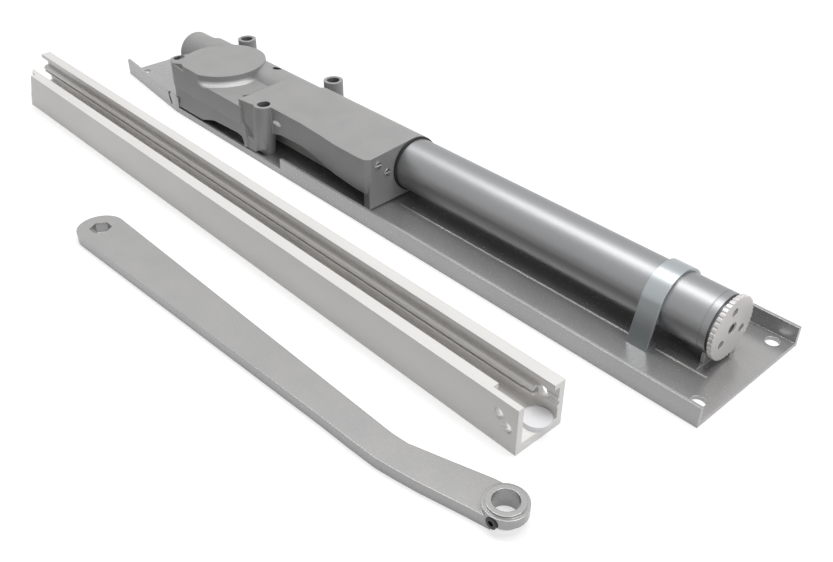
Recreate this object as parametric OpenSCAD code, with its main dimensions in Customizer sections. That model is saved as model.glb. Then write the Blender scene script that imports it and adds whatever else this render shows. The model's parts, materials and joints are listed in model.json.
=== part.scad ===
// Concealed overhead door closer with its slide track and lever arm, all three laid out on a bench.
// X runs along the mounting plate from the head to the spring adjuster, Y across it, Z up.
// The origin is on the spindle's axis, at the underside of the mounting plate.

/* [Mounting plate] */
// Length of the plate
plate_l = 505; // [495:1:520]
// Width of the plate over its flanges
plate_w = 82.4; // [80:0.2:90]
// Thickness of the sheet steel
sheet_t = 1.9; // [1.5:0.1:2.2]
// Height of the flanges from the underside
flange_h = 11; // [9:0.5:14]
// Length of the narrowed head end
taper_l = 82; // [60:1:84]
// How far each flange comes in at the head end
taper_in = 9; // [4:0.5:10]
// Distance of the end screw holes from each end
end_hole_x = 8.2; // [7:0.2:11]
// Spacing of the two holes at the adjuster end
end_hole_gap = 61.5; // [56:0.5:64]
// Middle of those two holes, measured from the front flange
end_hole_mid = 43.4; // [41:0.1:44]
// Spacing of the two holes at the narrowed end
head_hole_gap = 47; // [40:0.5:48]
// Diameter of the end screw holes
end_hole_d = 7.2; // [5:0.1:7.4]
// Width of the slanted slot in each flange, near the taper
slot_w = 2.8; // [2:0.1:3.4]
// Start of the gap in the front flange
flange_gap_start = 86; // [84:1:90]
// End of the gap in the front flange
flange_gap_end = 205; // [196:1:215]
// Height of the flange left in that gap
flange_low_h = 4.2; // [3:0.1:4.2]

/* [Spindle and gearing] */
// Distance of the spindle from the plate's head end
spindle_x = 104.5; // [103:0.5:106]
// Distance of the spindle from the front flange
spindle_y = 29; // [28:0.2:30]
// Tooth size of the spindle's gear and of the rack
gear_module = 1.5; // [1.5:0.1:1.6]
// Number of teeth on the spindle's gear
gear_teeth = 12; // [12:1:12]
// Play between the teeth
gear_play = 0.25; // [0.2:0.05:0.4]
// Diameter of the spindle in its lower bush
journal_d = 18; // [17:0.2:18.4]
// Diameter of the spindle in its upper bush
top_journal_d = 12; // [11.6:0.1:12]
// Width across the flats of the drive hexagon
hex_af = 10.5; // [9:0.1:11]
// Depth of the hexagonal socket in the spindle
socket_depth = 9; // [6:0.5:9.5]
// Diameter of the threaded hole above the socket
spindle_thread_d = 6.8; // [5:0.1:7]

/* [Closer body] */
// Height of the body's flat top over the plate's underside
body_top = 34.4; // [34:0.1:35]
// Height of the lower top face of the head
head_top = 30; // [29:0.1:31]
// Distance of the head's front face from the front flange
head_front = 2.8; // [2.6:0.1:3.2]
// Distance of the main block's front face from the front flange
body_front = 11.4; // [11:0.1:12]
// Far end of the body, where the tube starts
body_end = 277.3; // [272:0.1:282]
// Height of the cylinder's axis
bore_z = 20.4; // [20:0.1:20.8]
// Distance of the cylinder's axis from the front flange
bore_y = 45.5; // [45.2:0.1:46]
// Diameter of the cylinder bore
bore_d = 24.4; // [24:0.1:24.8]
// Outer diameter of the cast cylinder
cast_d = 33.2; // [33:0.1:34]
// Outer diameter of the cast cylinder beside the head
head_cast_d = 30.4; // [30:0.1:31]
// Outer diameter of the screwed lugs
lug_d = 12.6; // [12:0.1:13]
// Diameter of the holes in the lugs
lug_hole_d = 8.2; // [7:0.1:8.6]
// Distance between the lugs along the body
lug_gap_x = 99.2; // [98:0.1:100]
// Distance between the lugs across the body
lug_gap_y = 55; // [54:0.1:56]
// Diameter of the round boss over the spindle
boss_cover_d = 56; // [54:0.2:56.4]
// Height of that boss's top
boss_cover_top = 36.4; // [36:0.1:37]
// Diameter of the four screws under the body
screw_d = 5; // [4:0.5:5.5]
// Diameter of the two regulating valves
valve_d = 4.6; // [4:0.1:5]

/* [Spring tube] */
// Outer diameter of the tube
tube_d = 30.8; // [30.2:0.1:31.2]
// Wall of the tube
tube_wall = 1.4; // [1.2:0.1:1.6]
// Distance of the tube's far end from the plate's end
tube_back = 20; // [19:0.5:24]
// Wire diameter of the main spring
wire_d = 4; // [3:0.1:4.4]
// Number of turns of the main spring
spring_turns = 22; // [18:1:23]
// Diameter of the adjusting screw
adjust_d = 10; // [8:0.5:11]
// Diameter of the adjusting disc
disc_d = 32.8; // [31:0.2:33.2]
// Number of notches round the disc
disc_notches = 40; // [30:1:44]
// Width of the strap over the tube
strap_w = 11.2; // [9:0.2:13]
// Distance of the strap's start from the tube's far end
strap_back = 35; // [33:0.5:39]
// Thickness of the strap
strap_t = 1.6; // [1.2:0.1:1.8]

/* [Track] */
// Length of the track
track_l = 482; // [470:1:500]
// Width of the track
track_w = 28.6; // [28:0.1:30]
// Height of the track
track_h = 24.9; // [24:0.1:26]
// Wall thickness of the track
track_wall = 3.2; // [2.6:0.1:3.4]
// Thickness of the track's floor
track_floor = 5; // [4:0.1:5.4]
// Width of each lip, with its wall
track_lip = 6.4; // [5.6:0.1:6.8]
// Diameter of the slide roller
roller_d = 13.6; // [13:0.1:14.2]
// Height of the slide roller
roller_h = 2.2; // [2:0.1:4]

/* [Arm] */
// Distance between the arm's two centres, along the track
arm_l = 287.3; // [280:0.1:292]
// How far the boss is set off to the side
arm_side = 19.1; // [17:0.1:21]
// Thickness of the arm
arm_t = 6; // [5:0.1:7]
// Radius of the arm's wide end
arm_end_r = 12.9; // [12:0.1:13.5]
// Bore of the boss at the narrow end
boss_bore_d = 11.4; // [10:0.1:12]
// Outer diameter of the boss
boss_d = 19; // [18:0.1:20]
// Height of the boss
boss_h = 9.6; // [8:0.1:11]

/* [Hidden] */
$fn = 64;
// Overlap that cuts use to pass clear of a face
over = 1;
// Running clearance on a radius
run = 0.05;
// Clearance between neighbours that must not touch
clear_gap = 0.3;

// Spindle gearing, from the tooth size
pitch_r = gear_module * gear_teeth / 2;
tip_r = pitch_r + gear_module;
root_r = pitch_r - 1.25 * gear_module;
base_r = pitch_r * cos(20);
rack_y = spindle_y + pitch_r;

// Heights along the spindle
collar_bottom = 0.8;
head_bottom = 6;
seal_top = 3.5;
cap_top = 8;
thrust_top = 12;
gear_bottom = 12.6;
gear_top = 24.6;
chamber_top = 25.2;
spindle_top = 32;
cap_r = 14;
bush_r = 11.4;
thrust_r = 10.8;
chamber_r = tip_r + 0.8;
top_bush_r = top_journal_d / 2 + 1.4;

// Lugs: the first is at the head's front corner
lug_x = 77.6;
lug_y = 10.6;
far_lug_x = lug_x + lug_gap_x;
lugs = [for (i = [0, 1], j = [0, 1]) [lug_x + i * lug_gap_x, lug_y + j * lug_gap_y]];
screw_head_d = screw_d + 4;

// Cylinder, piston and spring along X
plug_start = 40;
plug_end = 63;
plug_thread_l = 7;
plug_r = 13.4;
piston_start = plug_end + plug_thread_l + 1;
piston_l = 80;
piston_end = piston_start + piston_l;
spring_start = piston_end + clear_gap;
tube_end = plate_l - tube_back;
nut_start = tube_end - 45;
nut_l = 14;
spring_end = nut_start - clear_gap;
spring_r = bore_d / 2 - wire_d / 2 - 0.5;
socket_l = 14;
tube_r = tube_d / 2;
tube_inner_r = tube_r - tube_wall;
strap_x = tube_end - strap_back;
disc_t = 2.4;
disc_start = tube_end + 1.8;
disc_hole_ring = 9.4;
nose_r = 3.2;

// Track and arm, placed as they lie beside the plate
track_x = 463.7;
track_y = -68.9;
track_far = track_x - track_l;
roller_place = [track_x - 4.7, track_y + 17.9];
arm_hex = [195.5, -114.6];
arm_boss = arm_hex + [arm_l, arm_side];
set_screw_d = 5.4;
set_screw_x = arm_boss[0] + 1.4;
set_screw_z = 5.2;

// Moves a shape from the plate's corner to the spindle's axis
module at_plate() {
  translate([-spindle_x, -spindle_y, 0]) children();
}

// Cylinder along X from a start to an end, on the cylinder's axis unless told otherwise
module along_x(start, end, r, y = bore_y, z = bore_z) {
  translate([start, y, z]) rotate([0, 90, 0]) cylinder(h = end - start, r = r);
}

// Upright cylinder at a place on the plate
module post(place, bottom, top, r) {
  translate([place[0], place[1], bottom]) cylinder(h = top - bottom, r = r);
}

module block(low, high) {
  translate(low) cube(high - low);
}

// Cylinder that leans from a low centre to a high one
module leaning_post(low, high, r) {
  way = high - low;
  translate(low) rotate([0, acos(way[2] / norm(way)), atan2(way[1], way[0])]) cylinder(h = norm(way), r = r);
}

// Plate

module plate_outline(inset) {
  in = taper_in + inset;
  polygon([
    [0, in], [taper_l, inset], [plate_l, inset],
    [plate_l, plate_w - inset], [taper_l, plate_w - inset], [0, plate_w - in]
  ]);
}

module mounting_plate() {
  cradle_x = tube_end - 2.4;
  cradle_t = 2;
  cradle_half = 10.5;
  bead_y = 28.6;
  bead_h = 0.5;
  foot_gap = 1.5;
  slot_x = taper_l - 8.2;
  color("silver") at_plate() difference() {
    union() {
      difference() {
        linear_extrude(flange_h) plate_outline(0);
        translate([0, 0, sheet_t]) linear_extrude(flange_h) plate_outline(sheet_t);
        block([-over, taper_in + sheet_t, sheet_t], [over * 2, plate_w - taper_in - sheet_t, flange_h + over]);
        block([plate_l - over, sheet_t, sheet_t], [plate_l + over, plate_w - sheet_t, flange_h + over]);
        block([flange_gap_start, -over, flange_low_h], [flange_gap_end, sheet_t + over, flange_h + over]);
      }
      // Long bead pressed into the floor beside the tube, with a break at the strap's foot
      block([body_end + 6, bead_y, sheet_t - 0.1], [strap_x - foot_gap, bead_y + 1, sheet_t + bead_h]);
      block([strap_x + strap_w + foot_gap, bead_y, sheet_t - 0.1],
        [plate_l - 14.6, bead_y + 1, sheet_t + bead_h]);
      block([strap_x + strap_w + 4.4, bead_y, sheet_t - 0.1], [tube_end - 0.7, bead_y + 5.4, sheet_t + bead_h]);
      // Cradle under the tube's far end, and the lug that indexes the disc
      difference() {
        block([cradle_x, bore_y - cradle_half, 1], [cradle_x + cradle_t, bore_y + cradle_half, 10]);
        along_x(cradle_x - over, cradle_x + cradle_t + over, tube_r + clear_gap);
      }
      block([disc_start, bore_y + 4, 1], [disc_start + disc_t, bore_y + 8, bore_z - disc_d / 2 + 0.2]);
    }
    for (s = [-1, 1]) {
      post([plate_l - end_hole_x, end_hole_mid + s * end_hole_gap / 2], -over, sheet_t + over, end_hole_d / 2);
      post([end_hole_x, plate_w / 2 + s * head_hole_gap / 2], -over, sheet_t + over, end_hole_d / 2);
    }
    post([spindle_x, spindle_y], -over, sheet_t + over, cap_r + clear_gap);
    for (p = lugs) {
      post(p, -over, sheet_t + over, screw_d / 2 + 0.1);
      translate([p[0], p[1], -0.01])
        cylinder(h = sheet_t - 0.3, r1 = screw_head_d / 2 + 0.1, r2 = screw_d / 2 + 0.1);
    }
    for (p = strap_rivet_places()) post(p, -over, sheet_t + over, rivet_d / 2);
    // Slanted slots that let the flanges bend in at the taper
    for (y = [[-over, 4.5], [plate_w - 4.5, plate_w + over]]) run_y(y[0], y[1]) polygon([
      [slot_x, 3], [slot_x + slot_w, 3],
      [slot_x + slot_w - 2.9, flange_h + over], [slot_x - 2.9, flange_h + over]
    ]);
  }
}

// Body

// Shape drawn in Y and Z, run along X from a start to an end
module run_x(start, end) {
  translate([start, 0, 0]) rotate([90, 0, 90]) linear_extrude(end - start) children();
}

// Shape drawn in X and Z, run along Y from a start to an end
module run_y(start, end) {
  translate([0, end, 0]) rotate([90, 0, 0]) linear_extrude(end - start) children();
}

step_x = 159;
head_left = 80;
skirt_y = 0.3;
skirt_top = 17;
skirt_bottom = 4.6;
arch_start = 116;
arch_end = 165;
arch_top = 10.6;

// Head: upright front above, leaning skirt below with an arch in it, and a slope down from the first lug
module head_block() {
  difference() {
    intersection() {
      run_x(head_left, step_x + 9) polygon([
        [head_front, head_top], [head_front, skirt_top], [skirt_y, skirt_bottom], [skirt_y + 4, skirt_bottom],
        [skirt_y + 6, head_bottom], [bore_y, head_bottom], [bore_y, head_top]
      ]);
      run_y(-over, bore_y + over) polygon([
        [head_left, body_top], [head_left, skirt_top], [head_left + 5.6, skirt_bottom],
        [step_x + 8.4, skirt_bottom], [step_x + 7.7, 10], [step_x + 5.4, 15.3],
        [step_x + 2, skirt_top + 1.4], [step_x + 2, body_top]
      ]);
    }
    run_y(-over, lug_y + 3) polygon([
      [lug_x, 0], [lug_x, skirt_bottom + 0.8], [arch_start, skirt_bottom + 1.1],
      [arch_start + 10.6, arch_top - 1.6], [arch_start + 15, arch_top - 0.8],
      [arch_end - 8, arch_top + 0.2], [arch_end - 3, arch_top - 0.4],
      [arch_end, skirt_bottom + 2.4], [arch_end + 0.8, 0]
    ]);
    // Room for the flange's end
    block([lug_x, -over, 0], [flange_gap_start + clear_gap, sheet_t + clear_gap, flange_h + clear_gap]);
  }
  run_y(head_front, spindle_y) polygon([
    [head_left, head_bottom], [head_left, body_top - 0.2], [spindle_x, head_top + 0.5],
    [spindle_x + 6, head_top - 0.1], [spindle_x + 6, head_bottom]
  ]);
  // Soft rise from the head's low top to the main block behind the step
  run_y(13, bore_y) polygon([
    [step_x - 13, head_top - 1], [step_x, body_top], [step_x + 2, body_top], [step_x + 2, 20]
  ]);
}

// Top between the first lug and the boss, level with the lug and rising to the boss
module lug_saddle() {
  hull() {
    translate([lug_x, lug_y, skirt_top]) cylinder(h = body_top - skirt_top, r = lug_d / 2 - 0.1, $fn = 32);
    for (a = [205, 240])
      post([spindle_x, spindle_y] + (boss_cover_d / 2 - 3) * [cos(a), sin(a)],
        skirt_top, boss_cover_top - 0.2, 2.4, $fn = 32);
    post([head_left + 0.8, head_front + 0.8], skirt_top, body_top - 0.1, 0.7, $fn = 32);
  }
}

// Main block: front face with shallow facets over a hollow lower front
module main_block() {
  intersection() {
    translate([0, 0, head_bottom]) linear_extrude(body_top) polygon([
      [step_x, head_front + 1], [far_lug_x - 4.2, lug_y - 5], [far_lug_x + 7, body_front],
      [body_end - 63, body_front], [body_end - 45, body_front - 1], [body_end - 28, body_front - 2.4],
      [body_end - 9, body_front - 2.4], [body_end - 2.7, body_front - 1.8], [body_end, body_front + 0.8],
      [body_end, bore_y], [step_x, bore_y]
    ]);
    run_x(step_x, body_end) polygon([
      [-over, head_bottom], [-over, body_top - 0.4], [body_front, body_top - 0.1],
      [bore_y - 1.4, body_top + 2.5], [bore_y, body_top + 2.5], [bore_y, head_bottom]
    ]);
    union() {
      run_y(-over, bore_y) polygon([
        [step_x - over, head_bottom], [far_lug_x - 6, head_bottom], [far_lug_x + 1, 15], [far_lug_x + 15, 18.2],
        [body_end - 65, 18.9], [body_end - 49, 17.2], [body_end - 34, 15], [body_end + over, 12.4],
        [body_end + over, 60], [step_x - over, 60]
      ]);
      block([step_x - over, body_front + 8, head_bottom], [body_end + over, bore_y, 60]);
    }
  }
}

// Front of the far lug: a leaning pilaster, a thin rib before it and the skirt's foot
module pilaster() {
  at = [far_lug_x, lug_y, 0];
  leaning_post(at + [-2.3, -2.1, skirt_bottom], at + [-0.2, -0.2, body_top - 1.4], 6);
  leaning_post(at + [0.7, -3.6, skirt_bottom + 0.6], at + [-4.4, -1.2, body_top - 2], 4);
  run_x(step_x + 6.4, far_lug_x) polygon([
    [skirt_y + 0.9, skirt_bottom], [head_front - 0.2, 10], [lug_y, 13], [lug_y, skirt_bottom]
  ]);
}

// Wall at the tube's end of the body, down to just over the plate
module end_wall() {
  run_x(body_end - 5, body_end) polygon([
    [body_front, bore_z], [body_front - 0.6, skirt_bottom + 7], [body_front - 0.6, sheet_t + 0.6],
    [bore_y, sheet_t + 1.7], [bore_y, bore_z]
  ]);
}

// Lug: a cone below, a cylinder above
module lug(place) {
  translate([place[0], place[1], sheet_t]) cylinder(h = 16.1, r1 = lug_d / 2 - 1.7, r2 = lug_d / 2);
  post(place, sheet_t + 16, body_top, lug_d / 2);
}

module closer_body() {
  web_t = 8;
  web_top = 26;
  nub_r = 1.2;
  nub_x = far_lug_x + 8.7;
  color("darkgray") at_plate() difference() {
    union() {
      along_x(plug_end, far_lug_x + 10, head_cast_d / 2);
      along_x(far_lug_x + 8, body_end, cast_d / 2);
      head_block();
      lug_saddle();
      main_block();
      pilaster();
      end_wall();
      for (p = lugs) lug(p);
      // Short raised bar on the front face
      along_x(nub_x, nub_x + 6.3, nub_r, body_front + 0.2, 25.1);
      // Webs that tie the far lugs to the cylinder
      for (i = [0, 1]) {
        x = lug_x + i * lug_gap_x;
        block([x - web_t / 2, bore_y, head_bottom], [x + web_t / 2, lug_y + lug_gap_y, web_top]);
      }
      // Round boss over the spindle, trimmed level with the head's front face
      difference() {
        union() {
          post([spindle_x, spindle_y], head_bottom, boss_cover_top, boss_cover_d / 2);
          intersection() {
            post([spindle_x, spindle_y], head_bottom, head_top + 0.6, boss_cover_d / 2 + 2.2);
            block([spindle_x + 9, 0, 0], [step_x, spindle_y + 12, 60]);
          }
        }
        block([0, -40, 0], [200, head_front, 60]);
      }
    }
    // Bores for the bearing cap, the gear and the upper bush
    post([spindle_x, spindle_y], head_bottom - over, cap_top, cap_r);
    post([spindle_x, spindle_y], cap_top - over, chamber_top, chamber_r);
    post([spindle_x, spindle_y], chamber_top - over, spindle_top + 0.4, top_bush_r);
    // Cylinder bore and the tube's socket
    along_x(plug_end - over, body_end + over, bore_d / 2);
    along_x(body_end - socket_l, body_end + over, tube_r);
    for (p = lugs) post(p, 14, body_top + over, lug_hole_d / 2);
    for (p = lugs) post(p, 0, 14, screw_d / 2);
    // Filling hole in the top and the two valve bores
    post([138, 48.7], head_top, boss_cover_top, 2.6);
    for (v = valves) along_x(body_end - valve_l, body_end + over, valve_d / 2, v[0], v[1]);
  }
}

valves = [[17.8, 29.0], [24.6, 22.3]];
valve_l = 18;

module body_screws() {
  color("dimgray") at_plate() for (p = lugs) {
    translate([p[0], p[1], 0.1]) cylinder(h = sheet_t - 0.5, r1 = screw_head_d / 2, r2 = screw_d / 2);
    post(p, 0.3, 13, screw_d / 2);
  }
}

seal_groove = 1.6;

module end_plug() {
  color("darkgray") at_plate() difference() {
    union() {
      along_x(plug_start, plug_end, plug_r);
      along_x(plug_end, plug_end + plug_thread_l, bore_d / 2);
    }
    difference() {
      along_x(plug_end + 3, plug_end + 5, plug_r);
      along_x(plug_end + 2, plug_end + 6, bore_d / 2 - seal_groove);
    }
    along_x(plug_end - 4, plug_end + plug_thread_l + over, 7);
  }
}

module end_plug_seal() {
  color("black") at_plate() difference() {
    along_x(plug_end + 3, plug_end + 5, bore_d / 2);
    along_x(plug_end + 2, plug_end + 6, bore_d / 2 - seal_groove);
  }
}

cap_groove_bottom = head_bottom + 0.3;
cap_groove_top = cap_top - 0.4;

module bearing_cap() {
  color("darkgray") at_plate() difference() {
    post([spindle_x, spindle_y], collar_bottom, cap_top, cap_r);
    post([spindle_x, spindle_y], 0, cap_top, journal_d / 2 + 0.4);
    post([spindle_x, spindle_y], collar_bottom + 0.9, cap_top + over, bush_r);
    difference() {
      post([spindle_x, spindle_y], cap_groove_bottom, cap_groove_top, cap_r + over);
      post([spindle_x, spindle_y], 0, cap_top, cap_r - seal_groove + 0.4);
    }
  }
}

module cap_seal() {
  color("black") at_plate() difference() {
    post([spindle_x, spindle_y], cap_groove_bottom, cap_groove_top, cap_r);
    post([spindle_x, spindle_y], 0, cap_top, cap_r - seal_groove + 0.4);
  }
}

module bush(bottom, top, outer_r, inner_r) {
  difference() {
    post([spindle_x, spindle_y], bottom, top, outer_r);
    post([spindle_x, spindle_y], bottom - over, top + over, inner_r);
  }
}

module upper_bush() {
  color("goldenrod") at_plate() bush(chamber_top, spindle_top, top_bush_r, top_journal_d / 2 + run);
}

module lower_bush() {
  color("goldenrod") at_plate() bush(seal_top, cap_top, bush_r, journal_d / 2 + run);
}

module spindle_seal() {
  color("black") at_plate() bush(collar_bottom + 0.9, seal_top, bush_r, journal_d / 2 + run);
}

// Gear, with involute flanks between its base circle and its tips

function involute(r) = sqrt(pow(r / base_r, 2) - 1) * 180 / PI - acos(base_r / r);
function flank_angle(r) = 90 / gear_teeth - gear_play / 2 / pitch_r * 180 / PI
  + involute(pitch_r) - involute(max(r, base_r));
flank_steps = 5;
foot_r = root_r - 0.5;
function flank_r(k) = base_r + (tip_r - 0.1 - base_r) * k / flank_steps;

module gear_plan() {
  union() {
    circle(r = root_r);
    for (t = [0 : gear_teeth - 1]) rotate(90 + t * 360 / gear_teeth) polygon(concat(
      [[0, 0]],
      [foot_r * [cos(flank_angle(base_r)), -sin(flank_angle(base_r))]],
      [for (k = [0 : flank_steps]) let (r = flank_r(k)) r * [cos(flank_angle(r)), -sin(flank_angle(r))]],
      [for (k = [flank_steps : -1 : 0]) let (r = flank_r(k)) r * [cos(flank_angle(r)), sin(flank_angle(r))]],
      [foot_r * [cos(flank_angle(base_r)), sin(flank_angle(base_r))]]
    ));
  }
}

module spindle() {
  color("gray") at_plate() difference() {
    union() {
      post([spindle_x, spindle_y], collar_bottom + 0.1, cap_top + over, journal_d / 2);
      post([spindle_x, spindle_y], cap_top + run, thrust_top, thrust_r);
      post([spindle_x, spindle_y], thrust_top - over, gear_bottom + over, foot_r);
      translate([spindle_x, spindle_y, gear_bottom]) linear_extrude(gear_top - gear_bottom) gear_plan();
      post([spindle_x, spindle_y], gear_top - 0.5, spindle_top, top_journal_d / 2);
    }
    translate([spindle_x, spindle_y, 0])
      cylinder(h = socket_depth + collar_bottom, d = hex_af / cos(30), $fn = 6);
    post([spindle_x, spindle_y], 0, socket_depth + 16, spindle_thread_d / 2);
  }
}

// Piston with its rack on the side that faces the spindle

rack_pitch = PI * gear_module;
rack_last = -5;
rack_tip = rack_y - gear_module;
rack_root = rack_y + 1.3 * gear_module;

// One gap of the rack, centred on a tooth of the gear
module rack_gap() {
  half_tip = rack_pitch / 4 + gear_module * tan(20) + gear_play / 2;
  half_root = rack_pitch / 4 - 1.3 * gear_module * tan(20) + gear_play / 2;
  polygon([
    [-half_tip - 0.4 * tan(20), rack_tip - 0.4], [half_tip + 0.4 * tan(20), rack_tip - 0.4],
    [half_root, rack_root], [-half_root, rack_root]
  ]);
}

relief_y = spindle_y + thrust_r + 0.9;
ball_r = 3.3;
seat_r = 2;
ball_pocket = 9;

module piston() {
  color("gray") at_plate() difference() {
    along_x(piston_start, piston_end, bore_d / 2 - run);
    // Flat that clears the gear, the gaps of the rack, and a relief beside the spindle's collar
    block([piston_start + 3.5, 0, 0], [piston_start + 46, rack_tip, 60]);
    for (t = [rack_last : 2]) translate([spindle_x + t * rack_pitch, 0, thrust_top])
      linear_extrude(gear_top - thrust_top + 0.4) rack_gap();
    block([piston_start + 3.5, 0, 0], [piston_start + 46, relief_y, thrust_top + 0.2]);
    // Check valve: passage, seat and pocket, with the rim closed in over the ball
    along_x(piston_end - ball_pocket, piston_end - 2, ball_r + 0.1);
    along_x(piston_end - 20, piston_end + over, seat_r);
    translate([piston_end - 16, bore_y, bore_z]) cylinder(h = 20, r = seat_r);
  }
}

module check_valve_ball() {
  ball_x = piston_end - ball_pocket + sqrt(ball_r * ball_r - seat_r * seat_r) + 0.02;
  color("silver") at_plate() translate([ball_x, bore_y, bore_z]) sphere(r = ball_r);
}

// Regulating valve: a slotted screw with a needle end
module valve(v) {
  color("silver") at_plate() difference() {
    union() {
      along_x(body_end - 10, body_end + 0.6, valve_d / 2 - run, v[0], v[1]);
      translate([body_end - valve_l + 1, v[0], v[1]]) rotate([0, 90, 0])
        cylinder(h = 7.5, r1 = 0.4, r2 = valve_d / 2 - 0.8);
    }
    translate([body_end, v[0] - 4, v[1] - 0.4]) cube([2, 8, 0.8]);
  }
}

module sweep_valve() {
  valve(valves[0]);
}

module latch_valve() {
  valve(valves[1]);
}

module tube_seal() {
  color("black") at_plate() difference() {
    along_x(body_end, body_end + 1.4, tube_r + 0.9);
    along_x(body_end - over, body_end + 3, tube_r);
  }
}

module spring_tube() {
  ring_x = tube_end - 4;
  color("lightgray") at_plate() difference() {
    along_x(body_end - socket_l, tube_end, tube_r);
    along_x(body_end - socket_l - over, tube_end + over, tube_inner_r);
    // Fine groove rolled in near the end
    difference() {
      along_x(ring_x, ring_x + 0.5, tube_r + over);
      along_x(ring_x - over, ring_x + over, tube_r - 0.2);
    }
  }
}

// Main spring: one unbroken wire, swept round the cylinder's axis

ring_sides = 6;
rings_a_turn = 8;
spring_rings = spring_turns * rings_a_turn;
spring_l = spring_end - spring_start - wire_d;
spring_pitch = spring_l / spring_turns;
function spring_point(i) = [
  spring_start + wire_d / 2 + spring_l * i / spring_rings,
  spring_r * cos(360 * i / rings_a_turn),
  spring_r * sin(360 * i / rings_a_turn)
];
function ring(i) = let (c = spring_point(i), a = 360 * i / rings_a_turn)
  [for (k = [0 : ring_sides - 1])
    let (b = 360 * k / ring_sides, d = wire_d / 2 * cos(b), e = wire_d / 2 * sin(b))
    [c[0] + e, c[1] + d * cos(a), c[2] + d * sin(a)]];
echo(least_gap_between_turns = spring_pitch - wire_d);

module main_spring() {
  n = ring_sides;
  points = [for (i = [0 : spring_rings]) each ring(i)];
  sides = [for (i = [0 : spring_rings - 1], k = [0 : n - 1]) let (a = i * n + k, b = i * n + (k + 1) % n)
    each [[a, b, b + n], [a, b + n, a + n]]];
  caps = [for (k = [1 : n - 2]) each [
    [0, k + 1, k],
    [spring_rings * n, spring_rings * n + k, spring_rings * n + k + 1]
  ]];
  color("gray") at_plate() translate([0, bore_y, bore_z]) polyhedron(points, concat(sides, caps));
}

module spring_nut() {
  color("gray") at_plate() difference() {
    along_x(nut_start, nut_start + nut_l, tube_inner_r - run);
    along_x(nut_start - over, nut_start + nut_l + over, adjust_d / 2 + run);
  }
}

screw_tail = 40;
plug_l = 5;
rim_t = 1.4;

// Adjusting screw: threaded length, collar inside the tube's plug, and a nose with a hexagonal socket
module adjusting_screw() {
  disc_end = disc_start + disc_t;
  color("gray") at_plate() difference() {
    union() {
      along_x(nut_start - screw_tail, tube_end + 1, adjust_d / 2);
      along_x(tube_end - plug_l - 3, tube_end - plug_l, adjust_d / 2 + 3);
      along_x(tube_end, disc_end - 0.4, nose_r);
    }
    translate([disc_end - 2.4, bore_y, bore_z]) rotate([0, 90, 0]) cylinder(h = 3, d = 4.5 / cos(30), $fn = 6);
  }
}

module tube_end_plug() {
  color("gray") at_plate() difference() {
    union() {
      along_x(tube_end - plug_l + run, tube_end, tube_inner_r);
      along_x(tube_end, tube_end + rim_t, tube_r - 3);
    }
    along_x(tube_end - plug_l - over, tube_end + rim_t + over, adjust_d / 2 + run);
  }
}

module adjusting_disc() {
  color("lightgray") at_plate() difference() {
    along_x(disc_start, disc_start + disc_t, disc_d / 2);
    for (i = [0 : disc_notches - 1]) {
      a = i * 360 / disc_notches;
      along_x(disc_start - over, disc_start + disc_t + over, 0.55,
        bore_y + disc_d / 2 * cos(a), bore_z + disc_d / 2 * sin(a), $fn = 16);
    }
    for (a = [95, 215, 335])
      along_x(disc_start - over, disc_start + disc_t + over, 2.2,
        bore_y + disc_hole_ring * cos(a), bore_z + disc_hole_ring * sin(a));
    along_x(disc_start - over, disc_start + disc_t + over, nose_r);
  }
}

// Strap over the tube, with its feet turned in and riveted to the plate

rivet_d = 3.4;
strap_r = tube_r + run;
strap_floor = sheet_t - bore_z;
strap_lean = 5.4;
foot_l = 8;
foot_t = 1.4;
rivet_out = strap_r + strap_lean + strap_t - foot_l / 2 - 0.2;
function strap_rivet_places() = [for (s = [-1, 1]) [strap_x + strap_w / 2, bore_y + s * rivet_out]];

// One leg of the strap with its foot, drawn from the tube's axis; it leaves the arc along its tangent
module strap_leg() {
  leave = 14.6;
  outside = strap_r + strap_lean + strap_t;
  heel = strap_r + strap_lean - strap_lean * foot_t / (1 - strap_floor);
  polygon([
    (strap_r + 0.2) * [cos(leave), sin(leave)], (strap_r + strap_t - 0.02) * [cos(leave), sin(leave)],
    [outside, strap_floor], [outside - foot_l, strap_floor],
    [outside - foot_l, strap_floor + foot_t], [heel, strap_floor + foot_t]
  ]);
}

module tube_strap() {
  color("slategray") at_plate() difference() {
    union() {
      difference() {
        along_x(strap_x, strap_x + strap_w, strap_r + strap_t);
        along_x(strap_x - over, strap_x + strap_w + over, strap_r);
        block([strap_x - over, 0, -over], [strap_x + strap_w + over, plate_w, bore_z + 2]);
      }
      for (m = [0, 1]) translate([strap_x, bore_y, bore_z]) rotate([90, 0, 90])
        linear_extrude(strap_w) mirror([m, 0]) strap_leg();
    }
    for (p = strap_rivet_places()) post(p, sheet_t - over, 6, rivet_d / 2);
  }
}

module strap_rivets() {
  color("slategray") at_plate() for (p = strap_rivet_places()) {
    post(p, 0.1, sheet_t + foot_t + 0.1, rivet_d / 2);
    post(p, sheet_t + foot_t, sheet_t + foot_t + 1, rivet_d / 2 + 1);
  }
}

// Track: a channel with two lips and a round screw port on the far wall

module track_section() {
  port_r = 3;
  port = [track_w - track_wall - 0.8, 13.6];
  lip_t = 2.6;
  difference() {
    union() {
      difference() {
        square([track_w, track_h]);
        translate([track_wall, track_floor]) square([track_w - 2 * track_wall, track_h]);
      }
      translate([0, track_h - lip_t]) square([track_lip, lip_t]);
      translate([track_w - track_lip, track_h - lip_t]) square([track_lip, lip_t]);
      translate(port) circle(r = port_r);
    }
    translate(port) circle(r = 1.4);
    translate(port - [4, 0.7]) square([4, 1.4]);
  }
}

// Level hole across the track, from one place in Y to another
module wall_hole(x, z, y_start, y_end, r) {
  translate([x, y_start, z]) rotate([-90, 0, 0]) cylinder(h = y_end - y_start, r = r);
}

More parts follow.
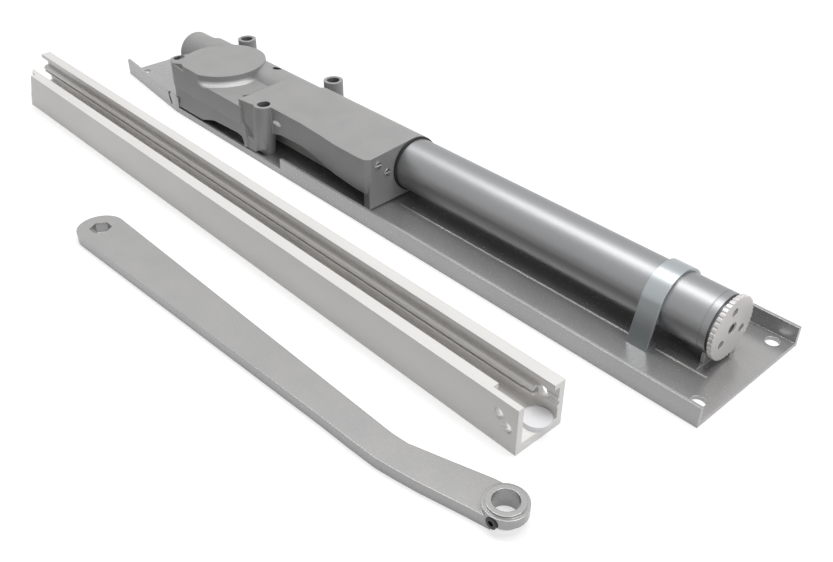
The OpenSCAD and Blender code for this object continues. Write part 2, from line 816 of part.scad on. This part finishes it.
module track() {
  lip_cut = 17;
  port_cut = 11.7;
  wall_cut = 20.3;
  wall_slant = 11.8;
  near_in = track_y + track_wall;
  far_in = track_y + track_w - track_wall;
  color("gainsboro") at_plate() difference() {
    translate([track_far, track_y, 0]) rotate([90, 0, 90]) linear_extrude(track_l) track_section();
    // Near lip and screw port milled away at the near end, with a low ridge left
    block([track_x - lip_cut, near_in, track_floor],
      [track_x + over, track_y + track_w - track_lip, track_h + over]);
    block([track_x - port_cut, near_in, track_floor], [track_x + over, far_in - 0.5, track_h - 2.6]);
    // Far end sawn on the slant: near wall, near lip and the floor's corner
    run_y(track_y - over, near_in + 0.05) polygon([
      [track_far - over, 0], [track_far + wall_cut, 0], [track_far + wall_cut + wall_slant, track_h],
      [track_far + wall_cut + wall_slant, track_h + over], [track_far - over, track_h + over]
    ]);
    translate([0, 0, track_floor + over]) linear_extrude(track_h) polygon([
      [track_far - over, near_in - 0.05], [track_far + wall_cut + wall_slant - 5, near_in - 0.05],
      [track_far + wall_cut + 0.5, track_y + track_lip + 0.1], [track_far - over, track_y + track_lip + 0.1]
    ]);
    translate([0, 0, -over]) linear_extrude(track_h) polygon([
      [track_far - over, track_y - over], [track_far + wall_cut, track_y], [track_far - over, track_y + 11]
    ]);
    // Two countersunk screw holes in the near wall, one plain hole in the far one
    for (h = [[track_x - 10.8, 16.2], [track_x - 5.9, 11.5]]) {
      wall_hole(h[0], h[1], track_y - over, near_in + over, 2.6);
      translate([h[0], track_y - 0.01, h[1]]) rotate([-90, 0, 0]) cylinder(h = 0.6, r1 = 3.2, r2 = 2.6);
    }
    wall_hole(track_x - 8.4, 14.3, far_in - over, track_y + track_w + over, 3);
  }
}

module track_roller() {
  color("white") at_plate() difference() {
    post(roller_place, track_floor, track_floor + roller_h, roller_d / 2);
    post(roller_place, track_floor - over, track_floor + roller_h - 0.8, 3);
  }
}

// Arm: a flat bar that narrows from its hexagonal end and bends towards the boss

arm_bend = arm_boss - [55.8, 6];

// Outline of the bar, from the wide end round the bend to the boss and back
module arm_plan() {
  union() {
    translate(arm_hex) circle(r = arm_end_r);
    polygon(concat(
      [arm_hex + [0, arm_end_r]],
      [for (p = [[-3, 0.1], [6, 1], [24.3, 6.9]]) arm_bend + p],
      [for (p = [[-12.4, 7.2], [-3.3, 9], [0.4, -8.7], [-10.3, -11.1], [-20.8, -13.7]]) arm_boss + p],
      [for (p = [[24, -10.4], [13, -12.6], [3, -14.3], [-13, -15.1], [-32, -15.7]]) arm_bend + p],
      [arm_hex - [0, arm_end_r]]
    ));
  }
}

module arm() {
  color("silver") at_plate() difference() {
    union() {
      linear_extrude(arm_t) arm_plan();
      translate([arm_boss[0], arm_boss[1], 0]) cylinder(h = 4, r1 = boss_d / 2 - 2.9, r2 = boss_d / 2);
      post(arm_boss, 4, boss_h - 1, boss_d / 2);
      post(arm_boss, 4, boss_h, boss_d / 2 - 1.4);
    }
    translate([arm_hex[0], arm_hex[1], -over]) cylinder(h = arm_t + 2 * over, d = hex_af / cos(30), $fn = 6);
    post(arm_boss, -over, boss_h + over, boss_bore_d / 2);
    translate([set_screw_x, arm_boss[1], set_screw_z]) rotate([90, 0, 0]) cylinder(h = 20, r = set_screw_d / 2);
  }
}

module arm_set_screw() {
  color("black") at_plate() translate([set_screw_x, arm_boss[1] - boss_bore_d / 2 - 0.3, set_screw_z])
    rotate([90, 0, 0]) difference() {
      cylinder(h = 3.8, r = set_screw_d / 2 - run);
      translate([0, 0, 1.6]) cylinder(h = 4, d = 2.5 / cos(30), $fn = 6);
    }
}

mounting_plate();
closer_body();
body_screws();
end_plug();
end_plug_seal();
bearing_cap();
cap_seal();
upper_bush();
lower_bush();
spindle_seal();
spindle();
piston();
check_valve_ball();
sweep_valve();
latch_valve();
tube_seal();
spring_tube();
main_spring();
spring_nut();
adjusting_screw();
tube_end_plug();
adjusting_disc();
tube_strap();
strap_rivets();
track();
track_roller();
arm();
arm_set_screw();
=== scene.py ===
import json
import math

import bpy
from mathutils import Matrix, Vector


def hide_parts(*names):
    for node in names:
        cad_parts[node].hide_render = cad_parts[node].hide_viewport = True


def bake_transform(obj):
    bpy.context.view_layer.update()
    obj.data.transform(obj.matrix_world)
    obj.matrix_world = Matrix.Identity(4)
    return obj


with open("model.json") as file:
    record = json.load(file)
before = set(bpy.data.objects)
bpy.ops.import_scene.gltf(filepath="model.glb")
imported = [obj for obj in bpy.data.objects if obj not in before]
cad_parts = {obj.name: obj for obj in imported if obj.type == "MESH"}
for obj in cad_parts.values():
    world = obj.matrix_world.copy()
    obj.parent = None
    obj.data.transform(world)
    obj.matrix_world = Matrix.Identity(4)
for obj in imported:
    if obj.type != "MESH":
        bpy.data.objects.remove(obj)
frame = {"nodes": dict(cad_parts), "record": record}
nodes = frame["nodes"]
slots = {part["node"]: part["material_slot"] for part in frame["record"]["subparts"]}
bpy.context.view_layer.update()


# Camera, at the photograph's height and angle

def place_camera():
    camera = bpy.data.objects.new("camera", bpy.data.cameras.new("camera"))
    bpy.context.scene.collection.objects.link(camera)
    camera.data.sensor_width = 36.0
    camera.data.lens = 40.58
    camera.data.clip_start = 0.02
    camera.data.clip_end = 40.0
    camera.location = (0.5330, -0.3125, 0.2825)
    heading = Vector((-0.73669, 0.67623, 0.0)).normalized()
    tilt = math.radians(35.41)
    look = heading * math.cos(tilt) - Vector((0.0, 0.0, math.sin(tilt)))
    camera.rotation_euler = look.to_track_quat("-Z", "Y").to_euler()
    bpy.context.scene.camera = camera


# Shader nodes

def new_group(name, inputs, outputs):
    """A shader group with its sockets, and its nodes and links ready to fill."""
    tree = bpy.data.node_groups.new(name, "ShaderNodeTree")
    for label, kind, value in inputs:
        socket = tree.interface.new_socket(label, in_out="INPUT", socket_type=kind)
        socket.default_value = value
    for label, kind in outputs:
        tree.interface.new_socket(label, in_out="OUTPUT", socket_type=kind)
    return tree, tree.nodes.new("NodeGroupInput"), tree.nodes.new("NodeGroupOutput")


def math_node(tree, operation, a, b=None, clamp=False):
    """Adds a Math node. Each of a and b is a socket or a number."""
    node = tree.nodes.new("ShaderNodeMath")
    node.operation = operation
    node.use_clamp = clamp
    for socket, value in zip(node.inputs, (a, b)):
        if value is None:
            continue
        if isinstance(value, (int, float)):
            socket.default_value = value
        else:
            tree.links.new(value, socket)
    return node.outputs[0]


def vector_node(tree, operation, a, b):
    """Adds a Vector Math node. Both a and b are sockets."""
    node = tree.nodes.new("ShaderNodeVectorMath")
    node.operation = operation
    tree.links.new(a, node.inputs[0])
    tree.links.new(b, node.inputs[1])
    return node


def object_position(tree):
    """Position on the part, in metres."""
    return tree.nodes.new("ShaderNodeTexCoord").outputs["Object"]


def split_axes(tree, vector):
    node = tree.nodes.new("ShaderNodeSeparateXYZ")
    tree.links.new(vector, node.inputs[0])
    return node.outputs


def make_grain():
    """Fine noise, finer along an axis where Stretch is larger."""
    tree, inlet, outlet = new_group(
        "grain",
        [("Stretch", "NodeSocketVector", (1000.0, 1000.0, 1000.0)),
         ("Detail", "NodeSocketFloat", 3.0),
         ("Contrast", "NodeSocketFloat", 1.0)],
        [("Height", "NodeSocketFloat")])
    noise = tree.nodes.new("ShaderNodeTexNoise")
    noise.inputs["Scale"].default_value = 1.0
    place = vector_node(tree, "MULTIPLY", object_position(tree), inlet.outputs["Stretch"])
    tree.links.new(place.outputs[0], noise.inputs["Vector"])
    tree.links.new(inlet.outputs["Detail"], noise.inputs["Detail"])
    middle = 0.5
    centred = math_node(tree, "SUBTRACT", noise.outputs["Fac"], middle)
    spread = math_node(tree, "MULTIPLY", centred, inlet.outputs["Contrast"])
    height = math_node(tree, "ADD", spread, middle, clamp=True)
    tree.links.new(height, outlet.inputs["Height"])
    return tree


def make_soft_edge():
    """Rounds the shading at edges, and gives a mask that is white on them."""
    sharpness = 6.0
    tree, inlet, outlet = new_group(
        "soft edge",
        [("Radius", "NodeSocketFloat", 0.0006)],
        [("Normal", "NodeSocketVector"), ("Mask", "NodeSocketFloat")])
    bevel = tree.nodes.new("ShaderNodeBevel")
    bevel.samples = 6
    tree.links.new(inlet.outputs["Radius"], bevel.inputs["Radius"])
    surface = tree.nodes.new("ShaderNodeNewGeometry")
    alike = vector_node(tree, "DOT_PRODUCT", bevel.outputs["Normal"], surface.outputs["Normal"])
    lost = math_node(tree, "SUBTRACT", 1.0, alike.outputs["Value"])
    strong = math_node(tree, "MULTIPLY", lost, sharpness, clamp=True)
    tree.links.new(bevel.outputs["Normal"], outlet.inputs["Normal"])
    tree.links.new(strong, outlet.inputs["Mask"])
    return tree


def make_dust():
    """Patches of dust on the faces that look up."""
    patches_a_metre = 60.0
    steepness = 3.0
    tree, inlet, outlet = new_group(
        "dust", [("Amount", "NodeSocketFloat", 0.2)], [("Mask", "NodeSocketFloat")])
    surface = tree.nodes.new("ShaderNodeNewGeometry")
    rise = math_node(tree, "MAXIMUM", split_axes(tree, surface.outputs["Normal"])["Z"], 0.0)
    upward = math_node(tree, "POWER", rise, steepness)
    noise = tree.nodes.new("ShaderNodeTexNoise")
    noise.inputs["Scale"].default_value = patches_a_metre
    noise.inputs["Detail"].default_value = 5.0
    tree.links.new(object_position(tree), noise.inputs["Vector"])
    patch = math_node(tree, "MULTIPLY", upward, noise.outputs["Fac"])
    mask = math_node(tree, "MULTIPLY", patch, inlet.outputs["Amount"], clamp=True)
    tree.links.new(mask, outlet.inputs["Mask"])
    return tree


def make_spot():
    """A soft mask inside an ellipsoid at a place on the part."""
    edge_steepness = 4.0
    tree, inlet, outlet = new_group(
        "spot",
        [("Centre", "NodeSocketVector", (0.0, 0.0, 0.0)),
         ("Reach", "NodeSocketVector", (0.01, 0.01, 0.01))],
        [("Mask", "NodeSocketFloat")])
    away = vector_node(tree, "SUBTRACT", object_position(tree), inlet.outputs["Centre"])
    share = vector_node(tree, "DIVIDE", away.outputs[0], inlet.outputs["Reach"])
    length = tree.nodes.new("ShaderNodeVectorMath")
    length.operation = "LENGTH"
    tree.links.new(share.outputs[0], length.inputs[0])
    inside = math_node(tree, "SUBTRACT", 1.0, length.outputs["Value"], clamp=True)
    mask = math_node(tree, "MULTIPLY", inside, edge_steepness, clamp=True)
    tree.links.new(mask, outlet.inputs["Mask"])
    return tree


def make_ring_band():
    """A soft mask on the quarter of a ring round the spindle that is in front of it and faces the tube."""
    start_x, end_y = 0.006, 0.004
    end_steepness = 120.0
    strength = 3.0
    tree, inlet, outlet = new_group(
        "ring band",
        [("Radius", "NodeSocketFloat", 0.03),
         ("Width", "NodeSocketFloat", 0.002),
         ("Height", "NodeSocketFloat", 0.03)],
        [("Mask", "NodeSocketFloat")])
    place = split_axes(tree, object_position(tree))
    width = inlet.outputs["Width"]

    def near(value, target):
        """One where the value meets the target, falling to nothing at the band's width."""
        off = math_node(tree, "ABSOLUTE", math_node(tree, "SUBTRACT", value, target))
        return math_node(tree, "SUBTRACT", 1.0, math_node(tree, "DIVIDE", off, width), clamp=True)

    def beyond(a, b):
        """Nothing where a is less than b, rising to one soon beyond it."""
        past = math_node(tree, "SUBTRACT", a, b)
        return math_node(tree, "MULTIPLY", past, end_steepness, clamp=True)

    square = math_node(tree, "ADD", math_node(tree, "MULTIPLY", place["X"], place["X"]),
                       math_node(tree, "MULTIPLY", place["Y"], place["Y"]))
    across = near(math_node(tree, "SQRT", square), inlet.outputs["Radius"])
    level = near(place["Z"], inlet.outputs["Height"])
    band = math_node(tree, "MULTIPLY", across, level)
    ends = math_node(tree, "MULTIPLY", beyond(place["X"], start_x), beyond(end_y, place["Y"]))
    both = math_node(tree, "MULTIPLY", band, ends)
    mask = math_node(tree, "MULTIPLY", both, strength, clamp=True)
    tree.links.new(mask, outlet.inputs["Mask"])
    return tree


GRAIN = make_grain()
SOFT_EDGE = make_soft_edge()
DUST = make_dust()
SPOT = make_spot()
RING_BAND = make_ring_band()


def add_group(tree, group, **values):
    node = tree.nodes.new("ShaderNodeGroup")
    node.node_tree = group
    for label, value in values.items():
        node.inputs[label].default_value = value
    return node


def mix_colours(tree, factor, low, high):
    """Mixes two colours, each a socket or three numbers."""
    colour_a, colour_b, colour_out = 6, 7, 2
    node = tree.nodes.new("ShaderNodeMix")
    node.data_type = "RGBA"
    for socket, value in ((node.inputs[colour_a], low), (node.inputs[colour_b], high)):
        if isinstance(value, tuple):
            socket.default_value = (*value, 1.0)
        else:
            tree.links.new(value, socket)
    tree.links.new(factor, node.inputs["Factor"])
    return node.outputs[colour_out]


def to_range(tree, value, low, high):
    """Turns a value from 0 to 1 into one from low to high."""
    node = tree.nodes.new("ShaderNodeMapRange")
    node.inputs["To Min"].default_value = low
    node.inputs["To Max"].default_value = high
    tree.links.new(value, node.inputs["Value"])
    return node.outputs["Result"]


# Finishes, one for each material slot, and a paler zinc of the disc's own

DUST_COLOUR = (0.62, 0.6, 0.57)
CLOUD = {"Stretch": (26.0, 34.0, 34.0), "Detail": 4.0, "Contrast": 1.4}
EVEN_GRAIN = (900.0, 900.0, 900.0)
COARSE_GRAIN = (1100.0, 1100.0, 1100.0)
DRAWN_GRAIN = (40.0, 2600.0, 2600.0)
TURNED_GRAIN = (2000.0, 60.0, 60.0)


def make_finish(name, colour, shade, rough, metal=0.0, stretch=EVEN_GRAIN, contrast=1.0,
                bump=0.00002, edge=0.0005, wear_and_highlight=None, wear_and_highlight_strength=1.0, dust=0.0, places=()):
    """Two close colours over a grain, with soft edges. Lighter edges (partly wear, partly painted highlight),
    dust and marked places are optional.
    """
    grain_share = 0.3
    material = bpy.data.materials.new(name)
    material.use_nodes = True
    tree = material.node_tree
    shader = tree.nodes["Principled BSDF"]
    shader.inputs["Metallic"].default_value = metal
    grain = add_group(tree, GRAIN, Stretch=stretch, Contrast=contrast).outputs["Height"]
    cloud = add_group(tree, GRAIN, **CLOUD).outputs["Height"]
    edges = add_group(tree, SOFT_EDGE, Radius=edge)
    base = mix_colours(tree, cloud, shade, colour)
    base = mix_colours(tree, to_range(tree, grain, 0.0, grain_share), base, shade)
    # Edges get a lighter colour. It is partly edge wear and partly a painted highlight where edges catch the
    # light.
    if wear_and_highlight:
        wear_and_highlight_mask = math_node(tree, "MULTIPLY", edges.outputs["Mask"], cloud)
        wear_and_highlight_mask = math_node(tree, "MULTIPLY", wear_and_highlight_mask, wear_and_highlight_strength, clamp=True)
        base = mix_colours(tree, wear_and_highlight_mask, base, wear_and_highlight)
    if dust:
        layer = add_group(tree, DUST, Amount=dust)
        base = mix_colours(tree, layer.outputs["Mask"], base, DUST_COLOUR)
    for group, values, place_colour in places:
        mask = add_group(tree, group, **values).outputs["Mask"]
        base = mix_colours(tree, mask, base, place_colour)
    tree.links.new(base, shader.inputs["Base Color"])
    tree.links.new(to_range(tree, grain, *rough), shader.inputs["Roughness"])
    relief = tree.nodes.new("ShaderNodeBump")
    relief.inputs["Distance"].default_value = bump
    relief.inputs["Strength"].default_value = 1.0
    tree.links.new(grain, relief.inputs["Height"])
    tree.links.new(edges.outputs["Normal"], relief.inputs["Normal"])
    tree.links.new(relief.outputs["Normal"], shader.inputs["Normal"])
    return material


def casting_places():
    """Painted highlights on a bar and on the foot of the boss, and painted shade inside the filling hole and
    lug holes.
    """
    # The light colour paints highlights where the casting catches the light. The near-black one paints the
    # shade inside the holes. Neither is the casting's own colour.
    bright = (0.8, 0.8, 0.8)
    painted_shade = (0.01, 0.01, 0.01)
    lugs_x = (-0.0269, 0.0723)
    lugs_y = (-0.0184, 0.0366)
    highlight_bar = {"Centre": (0.0843, -0.0186, 0.0251), "Reach": (0.0048, 0.0022, 0.0022)}
    boss_foot_highlight = {"Radius": 0.0292, "Width": 0.0024, "Height": 0.0306}
    filling_hole_shade = {"Centre": (0.0335, 0.0197, 0.030), "Reach": (0.0034, 0.0034, 0.03)}
    lug_hole_shades = [{"Centre": (x, y, 0.016), "Reach": (0.0050, 0.0050, 0.04)}
                 for x in lugs_x for y in lugs_y]
    return [(SPOT, highlight_bar, bright), (RING_BAND, boss_foot_highlight, bright), (SPOT, filling_hole_shade, painted_shade)] \
        + [(SPOT, hole, painted_shade) for hole in lug_hole_shades]


def make_finishes():
    return {
        "painted_steel": make_finish(
            "silver paint on sheet", (0.40, 0.397, 0.398), (0.36, 0.358, 0.36), (0.22, 0.3),
            metal=0.6, bump=0.000015, wear_and_highlight=(0.62, 0.62, 0.62), dust=0.25),
        "painted_casting": make_finish(
            "silver paint on casting", (0.345, 0.342, 0.343), (0.29, 0.287, 0.289), (0.4, 0.55),
            metal=0.2, stretch=COARSE_GRAIN, contrast=1.4, bump=0.00005, edge=0.0009,
            wear_and_highlight=(0.6, 0.6, 0.6), wear_and_highlight_strength=0.7, dust=0.2, places=casting_places()),
        "satin_steel": make_finish(
            "drawn tube", (0.31, 0.312, 0.318), (0.29, 0.292, 0.298), (0.38, 0.42),
            metal=0.85, stretch=DRAWN_GRAIN, bump=0.000004, edge=0.0003),
        "zinc_steel": make_finish(
            "zinc plate", (0.46, 0.49, 0.50), (0.38, 0.41, 0.42), (0.26, 0.38),
            metal=0.8, bump=0.000008, edge=0.0004, wear_and_highlight=(0.8, 0.8, 0.82)),
        "pale_zinc": make_finish(
            "pale zinc plate", (0.74, 0.72, 0.71), (0.62, 0.60, 0.60), (0.3, 0.45),
            metal=0.35, edge=0.0004, wear_and_highlight=(0.85, 0.84, 0.83)),
        "turned_steel": make_finish(
            "turned steel", (0.5, 0.5, 0.5), (0.4, 0.4, 0.4), (0.25, 0.38),
            metal=1.0, stretch=TURNED_GRAIN, bump=0.000004, edge=0.0003),
        "bright_steel": make_finish(
            "bright steel", (0.78, 0.78, 0.79), (0.66, 0.66, 0.67), (0.12, 0.2),
            metal=1.0, bump=0.000002, edge=0.0003),
        "spring_steel": make_finish(
            "oiled spring wire", (0.16, 0.16, 0.165), (0.1, 0.1, 0.1), (0.3, 0.45),
            metal=0.9, edge=0.0004),
        "bronze": make_finish(
            "sintered bronze", (0.6, 0.42, 0.2), (0.46, 0.3, 0.14), (0.4, 0.55),
            metal=0.9, contrast=1.6, edge=0.0003),
        "anodised": make_finish(
            "anodised extrusion", (0.82, 0.81, 0.79), (0.74, 0.73, 0.71), (0.36, 0.46),
            metal=0.2, stretch=DRAWN_GRAIN, bump=0.000004, edge=0.0004,
            wear_and_highlight=(0.86, 0.85, 0.83), dust=0.1),
        "white_nylon": make_finish(
            "white nylon", (0.86, 0.86, 0.88), (0.81, 0.81, 0.83), (0.42, 0.55),
            bump=0.00001, edge=0.0006),
        "black_rubber": make_finish(
            "black rubber", (0.022, 0.022, 0.022), (0.012, 0.012, 0.012), (0.6, 0.8),
            edge=0.0003),
        "black_steel": make_finish(
            "blacked steel", (0.035, 0.034, 0.034), (0.015, 0.015, 0.015), (0.3, 0.45),
            metal=0.5, bump=0.000006, edge=0.0003, wear_and_highlight=(0.25, 0.25, 0.25)),
    }


def dress_nodes(finishes):
    """Gives each piece its slot's finish; the toothed disc is plated paler than the strap."""
    own = {"adjusting_disc": "pale_zinc"}
    for name, piece in nodes.items():
        piece.data.materials.clear()
        piece.data.materials.append(finishes[own.get(name, slots[name])])


# Main spring, squeezed between the piston and its far end

def make_spring():
    """The same spring in a mesh of its own, in the same place, with the CAD spring hidden."""
    solid = nodes["main_spring"]
    spring = bpy.data.objects.new("coiled_spring", solid.data.copy())
    bpy.context.scene.collection.objects.link(spring)
    spring.matrix_world = solid.matrix_world.copy()
    bpy.context.view_layer.update()
    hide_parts("main_spring")
    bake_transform(spring)


# Floor, lamps and world

def seen_rays(tree):
    """One for rays that reach the camera directly, by reflection or through glass."""
    path = tree.nodes.new("ShaderNodeLightPath")
    seen = math_node(tree, "MAXIMUM", path.outputs["Is Camera Ray"], path.outputs["Is Glossy Ray"])
    return math_node(tree, "MAXIMUM", seen, path.outputs["Is Transmission Ray"])


def make_floor():
    """A pale floor that looks white but casts little light of its own, so it keeps the shadows."""
    side = 9.0
    just_below = -0.0001
    glow = 0.6
    bpy.ops.mesh.primitive_plane_add(size=side, location=(0.15, -0.05, just_below))
    floor = bpy.context.object
    floor.name = "floor"
    material = bpy.data.materials.new("pale floor")
    material.use_nodes = True
    tree = material.node_tree
    shader = tree.nodes["Principled BSDF"]
    shader.inputs["Base Color"].default_value = (0.55, 0.55, 0.55, 1.0)
    shader.inputs["Roughness"].default_value = 0.9
    shader.inputs["Specular IOR Level"].default_value = 0.1
    shader.inputs["Emission Color"].default_value = (1.0, 1.0, 1.0, 1.0)
    strength = math_node(tree, "MULTIPLY", seen_rays(tree), glow)
    tree.links.new(strength, shader.inputs["Emission Strength"])
    floor.data.materials.append(material)


def add_lamp(name, place, aim, size, power):
    light = bpy.data.lights.new(name, "AREA")
    light.shape = "RECTANGLE"
    light.size, light.size_y = size
    light.energy = power
    lamp = bpy.data.objects.new(name, light)
    bpy.context.scene.collection.objects.link(lamp)
    lamp.location = place
    lamp.rotation_euler = (Vector(aim) - Vector(place)).to_track_quat("-Z", "Y").to_euler()


def make_world():
    """A white room that is dimmer as a light than it looks."""
    as_light, as_seen = 0.2, 1.0
    world = bpy.data.worlds.new("pale room")
    bpy.context.scene.world = world
    world.use_nodes = True
    tree = world.node_tree
    background = tree.nodes["Background"]
    background.inputs["Color"].default_value = (1.0, 1.0, 1.0, 1.0)
    strength = to_range(tree, seen_rays(tree), as_light, as_seen)
    tree.links.new(strength, background.inputs["Strength"])


def light_scene():
    make_floor()
    make_world()
    add_lamp("key", place=(0.10, 0.12, 1.2), aim=(0.15, -0.03, 0.0), size=(1.6, 0.5), power=13.0)
    add_lamp("fill", place=(1.5, -0.2, 0.6), aim=(0.15, -0.05, 0.0), size=(0.8, 0.8), power=5.0)


bpy.context.scene.view_settings.view_transform = "Standard"
place_camera()
dress_nodes(make_finishes())
make_spring()
light_scene()
